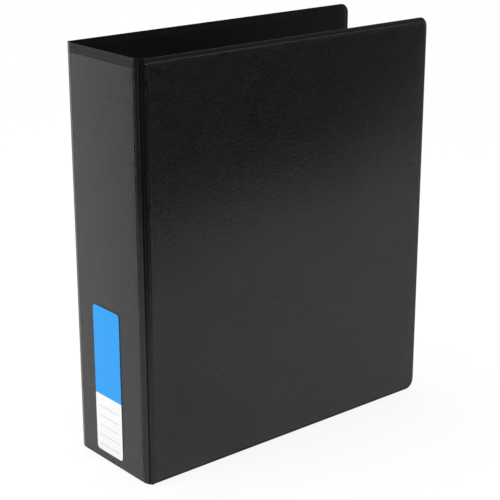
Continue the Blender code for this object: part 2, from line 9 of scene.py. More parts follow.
import bmesh
import bpy
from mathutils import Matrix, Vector


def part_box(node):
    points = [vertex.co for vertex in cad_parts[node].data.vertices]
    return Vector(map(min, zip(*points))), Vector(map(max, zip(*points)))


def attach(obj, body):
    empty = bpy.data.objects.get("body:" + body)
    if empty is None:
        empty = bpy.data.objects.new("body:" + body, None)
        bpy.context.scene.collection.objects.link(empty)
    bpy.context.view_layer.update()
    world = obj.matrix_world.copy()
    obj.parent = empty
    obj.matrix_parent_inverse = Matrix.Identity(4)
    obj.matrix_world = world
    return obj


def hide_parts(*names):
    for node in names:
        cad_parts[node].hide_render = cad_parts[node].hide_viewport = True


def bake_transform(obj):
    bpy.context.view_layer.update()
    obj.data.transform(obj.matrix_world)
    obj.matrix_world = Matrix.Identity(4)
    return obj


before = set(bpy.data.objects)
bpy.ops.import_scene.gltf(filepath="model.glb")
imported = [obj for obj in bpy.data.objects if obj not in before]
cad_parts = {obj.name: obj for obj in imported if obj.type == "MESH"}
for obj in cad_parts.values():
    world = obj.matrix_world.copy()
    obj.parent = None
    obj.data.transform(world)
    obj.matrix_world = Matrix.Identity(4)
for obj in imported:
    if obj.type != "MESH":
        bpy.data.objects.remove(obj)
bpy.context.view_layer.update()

MM = 0.001

# %% [markdown]
# The camera stands to the left of the front cover and looks down on the binder, so that the spine and
# the front share the picture. Its place was solved from the binder's corners, with no lens shift,
# because a shift would follow the camera into every other view. One small helper links the camera
# into the scene, and later every other object.

# %% Set the camera
IMAGE_SIDE = 500.0
SENSOR_WIDTH = 36.0
FOCAL_PIXELS = 1415.0
CAMERA_PLACE = (-0.6878, -0.8157, 0.5017)
CAMERA_PITCH = math.radians(18.57)
CAMERA_YAW = math.radians(-39.96)


def linked(name, data):
    """A new object, linked into the scene."""
    made = bpy.data.objects.new(name, data)
    bpy.context.collection.objects.link(made)
    return made


lens = bpy.data.cameras.new("studio_camera")
lens.sensor_width = SENSOR_WIDTH
lens.lens = FOCAL_PIXELS * SENSOR_WIDTH / IMAGE_SIDE
camera = linked("studio_camera", lens)
camera.location = CAMERA_PLACE
camera.rotation_euler = (math.pi / 2 - CAMERA_PITCH, 0.0, CAMERA_YAW)
bpy.context.scene.camera = camera
bpy.context.scene.view_settings.view_transform = "Standard"
print("Lens in mm:", round(lens.lens, 1))

# %% [markdown]
# Node trees get long when every socket is set on its own line. One helper fills in a node's inputs, and
# links an input when it is given another node's output. The others add a node, do one step of
# arithmetic, bring a value to another range, read the object's own coordinates, and start a finish.

# %% A short way to add nodes
NOISE_LOW = 0.3
NOISE_HIGH = 0.7


def set_inputs(tree, node, inputs):
    """Sets a node's inputs, given by name or number, and links those that are another node's output."""
    for key, value in inputs.items():
        if isinstance(value, bpy.types.NodeSocket):
            tree.links.new(value, node.inputs[key])
        else:
            node.inputs[key].default_value = value


def add_node(tree, kind, inputs=None, **settings):
    """Adds a node with its settings and its inputs."""
    made = tree.nodes.new(kind)
    for key, value in settings.items():
        setattr(made, key, value)
    set_inputs(tree, made, inputs or {})
    return made


def work_out(tree, first, second, kind):
    """One step of arithmetic on two values."""
    return add_node(tree, "ShaderNodeMath", {0: first, 1: second}, operation=kind).outputs[0]


def ranged(tree, value, low, high, start=NOISE_LOW, stop=NOISE_HIGH):
    """A value brought from its limits, or from those where most noise lies, to another range."""
    span = {"From Min": start, "From Max": stop, "To Min": low, "To Max": high}
    return add_node(tree, "ShaderNodeMapRange", {"Value": value, **span}).outputs[0]


def object_place(tree):
    """The object's own coordinates, which ride along at every pose."""
    return add_node(tree, "ShaderNodeTexCoord").outputs["Object"]


def new_finish(name):
    """A material with its node tree and its main shader."""
    made = bpy.data.materials.new(name)
    made.use_nodes = True
    return made, made.node_tree, made.node_tree.nodes["Principled BSDF"]


print("Node names are those of Blender", bpy.app.version_string)

# %% [markdown]
# The studio is a white room. For camera, glossy and transmission rays the world is plain white, and
# for the soft light that falls on the binder it is a mid grey. The floor mixes white paper with a
# glow for the same rays, so it stays white in the picture and still keeps a soft shadow. Far from the
# binder it is all glow, so that no horizon shows.

# %% World and floor
AMBIENT = 0.48
FLOOR_SIZE = 12.0
FLOOR_SINK = 0.2 * MM
FLOOR_GLOW = 0.86
SHADOW_REACH = 0.5
GLOW_REACH = 1.5
PAPER = (0.95, 0.95, 0.95, 1.0)
WHITE = (1.0, 1.0, 1.0, 1.0)


def seen_rays(tree):
    """One for camera, glossy and transmission rays, zero for light on its way to a surface."""
    path = add_node(tree, "ShaderNodeLightPath").outputs
    seen = work_out(tree, path["Is Camera Ray"], path["Is Glossy Ray"], "MAXIMUM")
    return work_out(tree, seen, path["Is Transmission Ray"], "MAXIMUM")


def end_mixed(tree, ending, share, first, second):
    """Ends a tree with a mix of two shaders."""
    inputs = {0: share, 1: first.outputs[0], 2: second.outputs[0]}
    mixed = add_node(tree, "ShaderNodeMixShader", inputs)
    add_node(tree, ending, {"Surface": mixed.outputs[0]})


def make_world():
    """A room that is white to look at, and softer as a light."""
    world = bpy.data.worlds.new("white_room")
    world.use_nodes = True
    tree = world.node_tree
    tree.nodes.clear()
    soft = add_node(tree, "ShaderNodeBackground", {"Color": WHITE, "Strength": AMBIENT})
    white = add_node(tree, "ShaderNodeBackground", {"Color": WHITE, "Strength": 1.0})
    end_mixed(tree, "ShaderNodeOutputWorld", seen_rays(tree), soft, white)
    bpy.context.scene.world = world


def floor_finish():
    """White paper that glows for the rays that see it, and that is all glow far away."""
    made, tree, _ = new_finish("studio_paper")
    tree.nodes.clear()
    paper = add_node(tree, "ShaderNodeBsdfDiffuse", {"Color": PAPER})
    glow = add_node(tree, "ShaderNodeEmission", {"Color": WHITE, "Strength": 1.0})
    place = object_place(tree)
    away = add_node(tree, "ShaderNodeVectorMath", {0: place}, operation="LENGTH").outputs["Value"]
    glowing = ranged(tree, away, FLOOR_GLOW, 1.0, SHADOW_REACH, GLOW_REACH)
    share = work_out(tree, seen_rays(tree), glowing, "MULTIPLY")
    end_mixed(tree, "ShaderNodeOutputMaterial", share, paper, glow)
    return made


def make_floor():
    """A large flat floor, just under the binder."""
    half = FLOOR_SIZE / 2
    corners = [(-half, -half), (half, -half), (half, half), (-half, half)]
    mesh = bpy.data.meshes.new("studio_floor")
    mesh.from_pydata([(x, y, -FLOOR_SINK) for x, y in corners], [], [(0, 1, 2, 3)])
    mesh.materials.append(floor_finish())
    floor = linked("studio_floor", mesh)


make_world()
make_floor()
print("Floor in m:", FLOOR_SIZE)

# %% [markdown]
# Two large soft boxes light the binder, one overhead and one on the spine's side. A dark card stands in
# front of the front cover and is seen only in reflections. It gives the glossy front its slow change
# from black at the top to grey at the foot, where the film mirrors the white floor.

# %% Lamps and the dark card
# Each soft box has its place, its side in metres and its power in watts.
LAMPS = {
    "top_box": ((-0.15, 0.15, 2.2), 2.0, 42.0),
    "spine_box": ((-1.8, 0.35, 1.0), 1.3, 11.0),
}
LAMP_TARGET = Vector((-0.05, 0.0, 0.15))
CARD_FOOT = (
    (-0.60, 0.35), (-0.70, 0.10), (-0.70, -0.08), (-0.62, -0.22), (-0.44, -0.30), (-0.20, -0.336),
    (0.26, -0.570), (0.57, -0.592), (0.80, -0.685), (1.85, -1.25),
)
CARD_HEIGHT = 0.9
CARD_BLACK = (0.05, 0.05, 0.05, 1.0)
CARD_ROUGHNESS = 0.9


def make_lamps():
    """Square soft boxes that face the binder."""
    for name, (place, size, power) in LAMPS.items():
        light = bpy.data.lights.new(name, "AREA")
        light.shape = "SQUARE"
        light.size = size
        light.energy = power
        lamp = linked(name, light)
        lamp.location = place
        lamp.rotation_euler = (LAMP_TARGET - Vector(place)).to_track_quat("-Z", "Y").to_euler()


def make_card():
    """A folded dark card that only reflections see."""
    finish, tree, shader = new_finish("black_card")
    set_inputs(tree, shader, {"Base Color": CARD_BLACK, "Roughness": CARD_ROUGHNESS})
    mesh = bpy.data.meshes.new("dark_card")
    points = [(x, y, z) for x, y in CARD_FOOT for z in (0.0, CARD_HEIGHT)]
    folds = range(0, len(points) - 2, 2)
    mesh.from_pydata(points, [], [(i, i + 2, i + 3, i + 1) for i in folds])
    mesh.materials.append(finish)
    card = linked("dark_card", mesh)
    card.visible_camera = False
    card.visible_diffuse = False
    card.visible_shadow = False
    card.visible_transmission = False


make_lamps()
make_card()
print("Lamps:", list(LAMPS))

# %% [markdown]
# The vinyl is black sheet with a very fine satin grain. A photograph of leather could be wrapped on
# it, but noise in the object's own coordinates needs no picture and has no seams. Fine noise makes the
# grain, as bump and as a slight change of tone, and broad noise moves the gloss a little.

# %% Black vinyl
GRAIN_DETAIL = 3.0
MIX_FACTOR, MIX_FIRST, MIX_SECOND = 0, 6, 7
MIX_COLOUR = 2


def noise(tree, place, scale, detail=2.0):
    """Noise whose scale counts its features in one metre."""
    inputs = {"Vector": place, "Scale": scale, "Detail": detail}
    return add_node(tree, "ShaderNodeTexNoise", inputs).outputs["Fac"]


def mixed_colour(tree, factor, first, second):
    """A colour between two others."""
    inputs = {MIX_FACTOR: factor, MIX_FIRST: first, MIX_SECOND: second}
    return add_node(tree, "ShaderNodeMix", inputs, data_type="RGBA").outputs[MIX_COLOUR]


def two_tones(tree, factor, first, second):
    """A colour between two plain tones, given without alpha."""
    return mixed_colour(tree, factor, (*first, 1.0), (*second, 1.0))


def bumped(tree, height, depth, strength=1.0):
    """Normals that follow a height, pressed to a depth."""
    inputs = {"Strength": strength, "Distance": depth, "Height": height}
    return add_node(tree, "ShaderNodeBump", inputs).outputs[0]


def sheet_finish(name, dark, light, roughness, specular, grain, grain_depth,
                 contrast=(0.0, 1.0), broad=24.0, broad_detail=2.0, alpha=1.0):
    """Plastic sheet: fine noise makes its grain and its tones, and broad noise moves its gloss."""
    made, tree, shader = new_finish(name)
    place = object_place(tree)
    fine = noise(tree, place, grain, GRAIN_DETAIL)
    gloss = noise(tree, place, broad, broad_detail)
    set_inputs(tree, shader, {
        "Base Color": two_tones(tree, ranged(tree, fine, *contrast), dark, light),
        "Roughness": ranged(tree, gloss, *roughness),
        "Alpha": alpha,
        "Specular IOR Level": specular,
        "Normal": bumped(tree, fine, grain_depth),
    })
    return made


cover_vinyl = sheet_finish(
    "cover_vinyl", (0.005, 0.005, 0.006), (0.016, 0.016, 0.017),
    roughness=(0.43, 0.47), specular=0.2, grain=700.0, grain_depth=0.35 * MM,
)
hinge_vinyl = sheet_finish(
    "hinge_vinyl", (0.0028, 0.0028, 0.003), (0.005, 0.005, 0.0054),
    roughness=(0.24, 0.32), specular=0.36, grain=1100.0, grain_depth=0.06 * MM,
)
# The lining is the same black vinyl as the covers. Its darker tones are painted shade, for the dim
# inside of the closed binder.
shaded_lining_vinyl = sheet_finish(
    "shaded_lining_vinyl", (0.002, 0.002, 0.0025), (0.007, 0.007, 0.0075),
    roughness=(0.545, 0.575), specular=0.115, grain=600.0, grain_depth=0.45 * MM,
)
print("Vinyl finishes:", cover_vinyl.name, hinge_vinyl.name, shaded_lining_vinyl.name)

# %% [markdown]
# The pockets are soft clear film over the vinyl. Real glass-like transmission would be slow and would
# export badly, so the film is a thin see-through gloss: a low alpha lets the vinyl show, and the
# film's own highlight lies over it. The vinyl's function makes it too: the fine noise gives it its haze
# and its faint grain.

# %% Clear film
# What the two films have in common.
FILM = {
    "roughness": (0.19, 0.225), "grain": 420.0, "grain_depth": 0.10 * MM,
    "contrast": (-0.3, 1.3), "broad": 16.0, "broad_detail": 1.0, "alpha": 0.45,
}
films = {
    "spine": sheet_finish(
        "spine_pocket_film", (0.001, 0.001, 0.002), (0.048, 0.048, 0.049), specular=0.80, **FILM,
    ),
    "front": sheet_finish(
        "front_pocket_film", (0.007, 0.007, 0.008), (0.027, 0.027, 0.028), specular=0.625, **FILM,
    ),
}
print("Films:", [film.name for film in films.values()])

# %% [markdown]
# A panel is a board between two vinyl sheets, which are welded together round it. The sheet shows a
# raised face, a soft fold over the board's edge and a flat welded rim. A bevelled box would miss the
# rim, so each sheet is lofted through loops of its outline, from the face down to the rim.

# %% Panel outlines
SPINE_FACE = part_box("spine_overlay")[0].x
FRONT_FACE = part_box("front_overlay")[0].y
BACK_FACE = -FRONT_FACE
PANEL_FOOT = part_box("front_skin")[0].z
PANEL_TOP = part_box("front_skin")[1].z
WELD_MARGIN = 3.5 * MM
HINGE_WELD = 1.2 * MM
CORNER_RADIUS = 8.0 * MM
SQUARE_RIM = 2.2 * MM
LEAST_RADIUS = 0.05 * MM
CORNER_STEPS = 10


def arc(centre, radius, start, turn, steps):
    """Points on an arc, both ends included."""
    angles = [start + turn * i / steps for i in range(steps + 1)]
    return [(centre[0] + radius * math.cos(a), centre[1] + radius * math.sin(a)) for a in angles]


class CoverPanel:
    """One stiff panel: its upright sides, which face it has, and whether its right side is free."""

    def __init__(self, node, facing, free_right):
        low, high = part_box(node)
        self.facing = facing
        self.free_right = free_right
        self.left = low.y if facing == "spine" else low.x
        self.right = high.y if facing == "spine" else high.x

    def place(self, along, up, depth):
        """A point of the panel, at a depth under its outer face."""
        if self.facing == "spine":
            return Vector((SPINE_FACE + depth, along, up))
        if self.facing == "front":
            return Vector((along, FRONT_FACE + depth, up))
        return Vector((along, BACK_FACE - depth, up))

    def outline(self, hinge_inset, free_inset, depth, lift=0.0, top_inset=0.0, foot_inset=0.0):
        """The panel's outline, drawn in from its sides, and lifted where it runs along a hinge."""
        low_u = self.left + hinge_inset
        high_u = self.right - (free_inset if self.free_right else hinge_inset)
        low_w = PANEL_FOOT + max(free_inset, foot_inset)
        high_w = PANEL_TOP - max(free_inset, top_inset)
        near = max(free_inset - SQUARE_RIM, LEAST_RADIUS)
        far = max(CORNER_RADIUS - free_inset, near) if self.free_right else near
        quarter = math.pi / 2
        rising = [i / CORNER_STEPS for i in range(CORNER_STEPS + 1)]
        right = [0.0] * len(rising) if self.free_right else rising
        corners = (
            ((low_u + near, low_w + near), near, 2, rising[::-1]),
            ((high_u - far, low_w + far), far, 3, right),
            ((high_u - far, high_w - far), far, 0, right[::-1]),
            ((low_u + near, high_w - near), near, 1, rising),
        )
        points = []
        for centre, radius, turns, shares in corners:
            bend = arc(centre, radius, turns * quarter, quarter, CORNER_STEPS)
            for (u, w), share in zip(bend, shares):
                points.append(self.place(u, w, depth - lift * share))
        return points


panels = {
    "spine": CoverPanel("spine_skin", "spine", False),
    "front": CoverPanel("front_skin", "front", True),
    "back": CoverPanel("back_skin", "back", True),
}
for name, panel in panels.items():
    print(name, "panel is", round((panel.right - panel.left) / MM, 1), "mm wide")

# %% [markdown]
# Every lofted piece needs the same last steps: faces that point outwards, smooth shading that stays
# sharp at real edges, a finish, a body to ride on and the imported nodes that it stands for.

# %% From loops to a finished piece
SHARP_ANGLE = math.radians(38.0)


def closed_mesh(bm, name):
    """A plain mesh from a closed shell, with its faces turned outwards."""
    bmesh.ops.recalc_face_normals(bm, faces=bm.faces)
    mesh = bpy.data.meshes.new(name)
    bm.to_mesh(mesh)
    bm.free()
    return mesh


def loft(name, loops):
    """A closed shell through loops of equally many points, capped at both ends."""
    bm = bmesh.new()
    rings = [[bm.verts.new(point) for point in loop] for loop in loops]
    for lower, upper in zip(rings, rings[1:]):
        for i in range(len(lower)):
            bm.faces.new((lower[i - 1], lower[i], upper[i], upper[i - 1]))
    bm.faces.new(rings[0])
    bm.faces.new(rings[-1])
    return closed_mesh(bm, name)


def add_piece(name, mesh, finish, nodes, body=None):
    """Links a piece with smooth shading, and says what it replaces and what it rides on."""
    piece = linked(name, mesh)
    mesh.shade_smooth()
    mesh.set_sharp_from_angle(angle=SHARP_ANGLE)
    mesh.materials.clear()
    mesh.materials.append(finish)
    if body:
        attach(piece, body)
    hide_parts(*nodes)
    return piece


print("Sharp from", round(math.degrees(SHARP_ANGLE)), "degrees")

# %% [markdown]
# The outer sheets and the linings are the same form, one pressed from outside and one from inside.
# The rim carries a shallow pressed line at the foot of the fold, where the welding bar bit in. The
# outer sheet's cut edge is slightly rounded, and the lining thins out towards it.

# %% Folds and rims
SKIN_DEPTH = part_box("front_skin")[0].y - FRONT_FACE
LINING_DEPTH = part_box("front_lining")[1].y - FRONT_FACE
RIM_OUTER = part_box("front_hinge_strip")[0].y - FRONT_FACE
RIM_THICKNESS = 0.95 * MM
RIM_INNER = RIM_OUTER + RIM_THICKNESS
SPINE_RIM_RISE = 0.9 * MM
COVER_RIM_LIFT = 0.55 * MM
RIMS = {"spine": RIM_OUTER - SPINE_RIM_RISE, "front": RIM_OUTER, "back": RIM_OUTER}
HINGE_LIFTS = {"spine": 0.0, "front": COVER_RIM_LIFT, "back": COVER_RIM_LIFT}
SEAM_DEPTH = 0.25 * MM
SEAM_GAP = 0.02 * MM
FOLD_STEPS = 5
SLOPE_STEPS = 8
SLOPE_FROM = 3.0 * MM
SLOPE_TO = -3.2 * MM
FACE_BORDER = 0.4 * MM
WALL_INSET = 0.2 * MM
# Steps to the edge in mm: the inset along a hinge, the inset along a free side, and the sink under the
# rim. In THIN_EDGE the sink is a share of the lining's thickness.
WELD_LINE = ((0.62, 2.72, 0.0), (0.54, 2.52, 0.16), (0.46, 2.28, 0.16), (0.38, 2.08, 0.0))
CUT_EDGE = ((0.10, 0.14, 0.0), (0.03, 0.05, 0.03), (0.00, 0.00, 0.10))
THIN_EDGE = (
    (0.10, 0.90, 0.00), (0.08, 0.60, 0.14), (0.05, 0.30, 0.44), (0.02, 0.08, 0.78), (0.00, 0.00, 0.90),
)


def fold_over_edge(rise):
    """A round fold over the board's edge, as reaches inwards and drops under the face."""
    radius = rise / 2
    bend = [math.pi / 2 * i / FOLD_STEPS for i in range(FOLD_STEPS + 1)]
    crest = [(radius * (1 - math.sin(a)), radius * (1 - math.cos(a))) for a in bend]
    foot = [(-radius * (1 - math.cos(a)), radius + radius * math.sin(a)) for a in bend[1:]]
    return [(reach, reach, drop) for reach, drop in crest + foot]


def soft_slope(rise):
    """The lining's slope to the rim, short at a hinge and wide at the free sides."""
    made = []
    for i in range(SLOPE_STEPS + 1):
        share = i / SLOPE_STEPS
        reach = rise / 2 - rise * share
        wide = SLOPE_FROM + (SLOPE_TO - SLOPE_FROM) * share
        made.append((reach, wide, rise * share * share * (3 - 2 * share)))
    return made


def formed_sheet(name, panel, face, rim, back, bend, edge, lift):
    """A sheet formed over the board, from the middle of its face out to the rim and back inside."""
    inwards = 1 if rim > face else -1
    rise = abs(rim - face)
    near = HINGE_WELD + bend[0][0] + FACE_BORDER
    far = WELD_MARGIN + bend[0][1] + FACE_BORDER
    loops = [panel.outline(near, far, face)]
    for reach, wide, drop in bend:
        insets = (HINGE_WELD + reach, WELD_MARGIN + wide)
        loops.append(panel.outline(*insets, face + inwards * drop, lift * drop / rise))
    for hinge_inset, free_inset, sink in edge:
        level = rim + inwards * sink * MM
        loops.append(panel.outline(hinge_inset * MM, free_inset * MM, level, lift))
    loops.append(panel.outline(0.0, 0.0, back, lift))
    loops.append(panel.outline(near + WALL_INSET, far + WALL_INSET, back, lift))
    loops.append(panel.outline(near + WALL_INSET, far + WALL_INSET, face + inwards * rise / 3))
    return loft(name, loops)


print("Rims under the faces in mm:", {side: round(rim / MM, 2) for side, rim in RIMS.items()})

# %% [markdown]
# Every panel gets its two sheets. Along a hinge the outer one is lifted, so that it runs into the bent
# strip without a step, and the lining stays flat. The two meet in the seam, with a hair of air between.

# %% Vinyl sheets
BODIES = {"spine": "spine", "front": "front_cover", "back": "back_cover"}
for side, panel in panels.items():
    bend = fold_over_edge(RIMS[side] - SKIN_DEPTH)
    seam = RIMS[side] + SEAM_DEPTH
    shape = (SKIN_DEPTH, RIMS[side], seam, bend, (*WELD_LINE, *CUT_EDGE), HINGE_LIFTS[side])
    outer = formed_sheet(side + "_outer_sheet", panel, *shape)
    add_piece(side + "_outer_sheet", outer, cover_vinyl, [side + "_skin"], BODIES[side])
    bend = soft_slope(LINING_DEPTH - RIM_INNER)
    thick = (RIM_INNER - seam - SEAM_GAP) / MM
    edge = [(near, far, share * thick) for near, far, share in THIN_EDGE]
    shape = (LINING_DEPTH, RIM_INNER, seam + SEAM_GAP, bend, edge, 0.0)
    inner = formed_sheet(side + "_inner_sheet", panel, *shape)
    add_piece(side + "_inner_sheet", inner, shaded_lining_vinyl, [side + "_lining"], BODIES[side])
print("Sheets on", len(panels), "panels")

# %% [markdown]
# Each pocket is one sheet of film. It lies on the raised face, follows the fold down to the rim, and
# is welded there with the vinyl on three sides. The top stays open and ends in a straight lip, which a
# swollen copy of the vinyl would not have, so the film is lofted through loops of its own. A shallow
# pressed line follows the border of the flat part.

# %% Film pockets
FILM_OVER_RIM = 0.15 * MM
FILM_BACK = 0.30 * MM
FILM_SLACK = 0.25 * MM
FILM_LIP = 3.3 * MM
LIP_RISE = 0.7 * MM
FILM_FEET = {"spine": 0.9 * MM, "front": 2.0 * MM}
# The flat part in mm, as insets and depths under the face, and then steps to the edge as above.
FILM_LINES = ((3.2, 0.0), (2.4, 0.02), (2.1, 0.10), (1.8, 0.10), (1.5, 0.02), (1.0, 0.0))
FILM_EDGE = ((0.62, 2.8, 0.005), (0.30, 0.40, 0.01), (0.10, 0.14, 0.04), (0.03, 0.06, 0.12))


def film_sheet(name, panel, top_inset, foot_inset, rim, lift):
    """Clear film from the middle of the flat part, over the fold and out to the weld."""
    loops = []

    def add_loop(hinge_inset, free_inset, depth, lifted=0.0, top=0.0):
        ends = (top_inset + top, foot_inset)
        loops.append(panel.outline(hinge_inset, free_inset, depth, lifted, *ends))

    for inset, depth in FILM_LINES:
        reach = inset * MM
        add_loop(HINGE_WELD + reach, WELD_MARGIN + reach, depth * MM, 0.0, reach)
    near, far = HINGE_WELD - FILM_SLACK, WELD_MARGIN - FILM_SLACK
    for reach, wide, drop in fold_over_edge(rim):
        add_loop(near + reach, far + wide, drop, lift * drop / rim, max(reach, 0.0))
    for hinge_inset, free_inset, sink in FILM_EDGE:
        add_loop(hinge_inset * MM, free_inset * MM, rim + sink * MM, lift)
    add_loop(near, far, rim + FILM_SLACK / 2, lift)
    add_loop(HINGE_WELD + FILM_SLACK, WELD_MARGIN + FILM_SLACK, FILM_BACK, 0.0, FILM_SLACK)
    return loft(name, loops)


for side, finish in films.items():
    top_inset = max(PANEL_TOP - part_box(side + "_overlay")[1].z - LIP_RISE, FILM_LIP)
    rim = RIMS[side] - FILM_OVER_RIM
    shape = (top_inset, FILM_FEET[side], rim, HINGE_LIFTS[side])
    film = film_sheet(side + "_film", panels[side], *shape)
    add_piece(side + "_film", film, finish, [side + "_overlay"], BODIES[side])
    print(side, "pocket opens", round(top_inset / MM, 1), "mm under the top")

# %% [markdown]
# Geometry Nodes put many copies of one small shape in a row. The tree has named inputs for the number
# of copies, the first place and the step, so the same tree serves the weld pips, the rivets and the
# pins. The result is made a plain mesh at once, because an export drops instances.

# %% A row of copies
ROW_INPUTS = {
    "Copies": "NodeSocketInt", "First Place": "NodeSocketVector",
    "Step": "NodeSocketVector", "Finish": "NodeSocketMaterial",
}


def new_tree(name, inputs):
    """A geometry tree with named inputs, and the sockets that they arrive on."""
    tree = bpy.data.node_groups.new(name, "GeometryNodeTree")
    for label, kind in inputs.items():
        tree.interface.new_socket(label, in_out="INPUT", socket_type=kind)
    tree.interface.new_socket("Made", in_out="OUTPUT", socket_type="NodeSocketGeometry")
    return tree, add_node(tree, "NodeGroupInput").outputs


def set_in_row(tree, start, shape):
    """Ends a tree with real copies of a shape along a straight row, in one finish."""
    line = {"Count": start["Copies"], "Start Location": start["First Place"], "Offset": start["Step"]}
    points = add_node(tree, "GeometryNodeMeshLine", line)
    copies = {"Points": points.outputs[0], "Instance": shape}
    placed = add_node(tree, "GeometryNodeInstanceOnPoints", copies)
    real = add_node(tree, "GeometryNodeRealizeInstances", {"Geometry": placed.outputs[0]})
    ended = {"Geometry": real.outputs[0], "Material": start["Finish"]}
    dressed = add_node(tree, "GeometryNodeSetMaterial", ended)
    add_node(tree, "NodeGroupOutput", {0: dressed.outputs[0]})
    return tree


def row_tree():
    """Copies of the incoming shape along a straight row."""
    tree, start = new_tree("row_of_copies", {"Shape": "NodeSocketGeometry", **ROW_INPUTS})
    return set_in_row(tree, start, start["Shape"])


def plain_mesh(maker):
    """What an object's modifiers make of it, as a plain mesh. The object itself is removed."""
    graph = bpy.context.evaluated_depsgraph_get()
    made = bpy.data.meshes.new_from_object(maker.evaluated_get(graph))
    bpy.data.objects.remove(maker, do_unlink=True)
    return made


def grown(name, mesh, tree, inputs):
    """Runs a node tree on a mesh and returns what it makes as a plain mesh."""
    maker = linked(name + "_maker", mesh)
    modifier = maker.modifiers.new(name, "NODES")
    modifier.node_group = tree
    for item in tree.interface.items_tree:
        if item.in_out == "INPUT" and item.name in inputs:
            modifier[item.identifier] = inputs[item.name]
    made = plain_mesh(maker)
    made.name = name
    return made


row_of_copies = row_tree()
print("Tree:", row_of_copies.name)

# %% [markdown]
# The hinge is the two vinyl sheets welded flat together, bending round the spine's corner. A narrow
# crease runs down its middle between soft ridges. Bump could fake them, but the gloss shows every
# change of slope, so the relief is drawn in the strip's section.

# %% Hinge section
HINGE_SPINE_ZONE = panels["spine"].left - FRONT_FACE
HINGE_COVER_ZONE = panels["front"].left - SPINE_FACE
HINGE_START = RIMS["spine"]
HINGE_END = RIM_OUTER - HINGE_LIFTS["front"]
ROLL_RUN_IN = 4.0 * MM
BEND_STEPS = 64
# The crease and the ridges: the middle and the width as shares of the bend, and the depth in mm.
RELIEF = ((0.51, 0.050, 0.80), (0.22, 0.070, 0.10), (0.37, 0.060, -0.12), (0.61, 0.045, -0.24))


def on_hinge(x, y, inwards):
    """A point by its depths under the spine's face and under the cover's face."""
    return Vector((SPINE_FACE + x, inwards * (FRONT_FACE + y), 0.0))


def outer_roll(share, sink):
    """The strip's outer side: part of an ellipse that rolls from the spine into the cover."""
    middle = HINGE_SPINE_ZONE + ROLL_RUN_IN
    tall = middle - HINGE_END
    first = math.asin(ROLL_RUN_IN / tall)
    deep = (HINGE_COVER_ZONE - HINGE_START) / math.cos(first)
    angle = first + (math.pi / 2 - first) * share
    inner_side = Vector((math.cos(angle) / deep, math.sin(angle) / tall)).normalized() * sink
    x = HINGE_COVER_ZONE - deep * math.cos(angle) + inner_side.x
    return x, middle - tall * math.sin(angle) + inner_side.y


def relief(share):
    """How deep the crease presses in at a share of the bend, and how far the ridges stand out."""
    waves = [depth * math.exp(-(((share - middle) / width) ** 2)) for middle, width, depth in RELIEF]
    return sum(waves) * MM


def hinge_section(inwards, thickness):
    """The strip's outline across, out along its rolled side and back along its inner side."""
    shares = [i / BEND_STEPS for i in range(BEND_STEPS + 1)]
    outer = [outer_roll(share, relief(share)) for share in shares]
    corner = (HINGE_COVER_ZONE, HINGE_COVER_ZONE)
    inner = arc(corner, HINGE_COVER_ZONE - RIM_INNER, 3 * math.pi / 2, -math.pi / 2, BEND_STEPS // 2)
    inner.append((RIM_INNER, HINGE_SPINE_ZONE))
    across = zip([*outer[::-2], outer[0]], inner)
    thinned = [Vector(near).lerp(Vector(far), thickness) for near, far in across]
    limits = (HINGE_COVER_ZONE - SEAM_GAP, HINGE_SPINE_ZONE - SEAM_GAP)
    return [on_hinge(min(x, limits[0]), min(y, limits[1]), inwards) for x, y in (*outer, *thinned)]


print("Hinge section has", len(hinge_section(1.0, 1.0)), "points")

# %% [markdown]
# The welding tool has left a row of fine pips in the crease, which the row tree sets. At the top its
# inner side slopes off, so that no cut end catches the light.

# %% Hinge strips
PIP_SHARE = 0.51
PIP_SINK = 0.55 * MM
PIP_PITCH = 2.0 * MM
PIP_SIZE = (0.28 * MM, 0.28 * MM, 0.60 * MM)
PIP_MARGIN = 5.0 * MM
# Drops under the top in mm, with the share of the thickness that is left there.
STRIP_TOP = ((0.9, 1.0), (0.78, 0.86), (0.44, 0.5), (0.14, 0.2), (0.0, 0.1))


def weld_pip():
    """One soft pip, a low-sided ball drawn out along the weld."""
    bm = bmesh.new()
    bmesh.ops.create_uvsphere(bm, u_segments=6, v_segments=4, radius=1.0)
    bmesh.ops.scale(bm, verts=bm.verts, vec=PIP_SIZE)
    return closed_mesh(bm, "weld_pip")


def joined(name, *meshes):
    """Several meshes in one."""
    bm = bmesh.new()
    for mesh in meshes:
        bm.from_mesh(mesh)
    made = bpy.data.meshes.new(name)
    bm.to_mesh(made)
    bm.free()
    return made


def hinge_strip(name, inwards):
    """The bent strip with its row of pips, as one mesh."""
    levels = [(PANEL_FOOT, 1.0)] + [(PANEL_TOP - down * MM, thickness) for down, thickness in STRIP_TOP]
    loops = []
    for level, thickness in levels:
        section = hinge_section(inwards, thickness)
        loops.append([point + Vector((0, 0, level)) for point in section])
    count = round((PANEL_TOP - PANEL_FOOT - 2 * PIP_MARGIN) / PIP_PITCH)
    first = on_hinge(*outer_roll(PIP_SHARE, PIP_SINK), inwards)
    first.z = PANEL_FOOT + PIP_MARGIN
    inputs = {
        "Copies": count, "First Place": first,
        "Step": (0.0, 0.0, PIP_PITCH), "Finish": hinge_vinyl,
    }
    pips = grown(name + "_pips", weld_pip(), row_of_copies, inputs)
    print(name, "has", count, "pips")
    return joined(name, loft(name, loops), pips)


for side, inwards in (("front", 1.0), ("back", -1.0)):
    name = side + "_hinge_gutter"
    gutter = add_piece(name, hinge_strip(name, inwards), hinge_vinyl, [side + "_hinge_strip"])
    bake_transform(gutter)

# %% [markdown]
# The label is a paper sticker on the spine, blue above and white below, with ruled lines to write on.
# Its print is worked out from height and width in the object's coordinates, so it stays sharp at any
# size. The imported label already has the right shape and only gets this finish.

